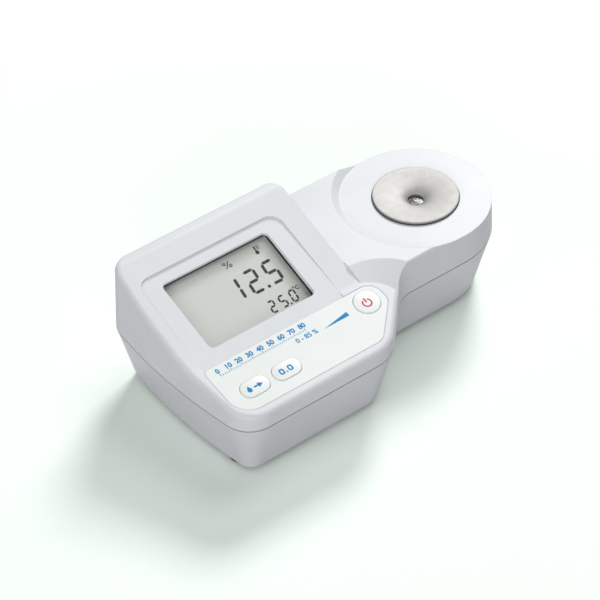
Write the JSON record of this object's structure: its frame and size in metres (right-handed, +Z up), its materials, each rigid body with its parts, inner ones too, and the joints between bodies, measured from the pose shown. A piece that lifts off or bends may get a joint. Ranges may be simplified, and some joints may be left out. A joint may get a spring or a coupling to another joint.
{
  "type": "digital refractometer",
  "caption": "Compact digital refractometer: a tilted display with press keys beside a round steel sample dish with a prism, battery cover and rubber feet below.",
  "frame": {"origin": "on the resting plane under the feet, below the middle of the case's bounding box", "axes": "+X along the case from the display end to the sample well, +Y from the keys to the back, +Z up"},
  "size_m": [0.192, 0.102, 0.067],
  "materials": {
    "case_grey": "fine satin",
    "black_rubber": "matt",
    "strip_rubber": "matt",
    "clear_pane": "polished",
    "cell_glass": "grey-green",
    "black_plastic": "matt",
    "overlay_film": "fine satin",
    "key_white": "fine satin",
    "board_green": "solder mask",
    "steel": "turned",
    "brass_nut": "turned",
    "prism_glass": "polished",
    "amber_resin": "clear amber",
    "battery_can": "satin",
    "screw_steel": "bright"
  },
  "bodies": {
    "case": {"battery": "battery_can", "battery_contacts": "black_plastic", "board_screw_1": "screw_steel", "board_screw_2": "screw_steel", "board_screw_3": "screw_steel", "board_screw_4": "screw_steel", "case_gasket": "black_rubber", "case_screw_1": "screw_steel", "case_screw_2": "screw_steel", "case_screw_3": "screw_steel", "case_screw_4": "screw_steel", "case_screw_5": "screw_steel", "contact_strip_front": "strip_rubber", "contact_strip_rear": "strip_rubber", "display_window": "clear_pane", "foot_1": "black_rubber", "foot_2": "black_rubber", "foot_3": "black_rubber", "foot_4": "black_rubber", "image_sensor": "black_plastic", "key_overlay": "overlay_film", "keypad_board": "board_green", "keypad_screw_1": "screw_steel", "keypad_screw_2": "screw_steel", "keypad_screw_3": "screw_steel", "lamp": "amber_resin", "lamp_board": "board_green", "lcd_frame": "black_plastic", "lcd_glass": "cell_glass", "lens": "prism_glass", "lower_case": "case_grey", "main_board": "board_green", "optics_block": "black_plastic", "optics_board_screw_1": "screw_steel", "optics_board_screw_2": "screw_steel", "optics_board_screw_3": "screw_steel", "optics_board_screw_4": "screw_steel", "optics_screw_1": "screw_steel", "optics_screw_2": "screw_steel", "power_switch": "black_plastic", "prism": "prism_glass", "prism_seal": "black_rubber", "processor": "black_plastic", "read_switch": "black_plastic", "sample_dish": "steel", "sensor_board": "board_green", "temperature_probe": "black_plastic", "upper_case": "case_grey", "well_nut": "brass_nut", "well_seal": "black_rubber", "zero_switch": "black_plastic"},
    "read_key": {"read_key": "key_white"},
    "zero_key": {"zero_key": "key_white"},
    "power_key": {"power_key": "key_white"},
    "cover": {"battery_cover": "case_grey", "cover_seal": "black_rubber"}
  },
  "joints": [
    {"name": "read_key_press", "type": "slide", "parent": "case", "child": "read_key", "axis": [0, 0.1867, -0.9824], "range_m": [0, 0.0005], "stiffness_N_per_m": 6000},
    {"name": "zero_key_press", "type": "slide", "parent": "case", "child": "zero_key", "axis": [0, 0.1867, -0.9824], "range_m": [0, 0.0005], "stiffness_N_per_m": 6000},
    {"name": "power_key_press", "type": "slide", "parent": "case", "child": "power_key", "axis": [0, 0.1867, -0.9824], "range_m": [0, 0.0005], "stiffness_N_per_m": 6000},
    {"name": "cover_turn", "type": "hinge", "parent": "case", "child": "cover", "pos_m": [-0.045, 0, 0.0015], "axis": [0, 0, 1], "range_deg": [-60, 0]}
  ]
}
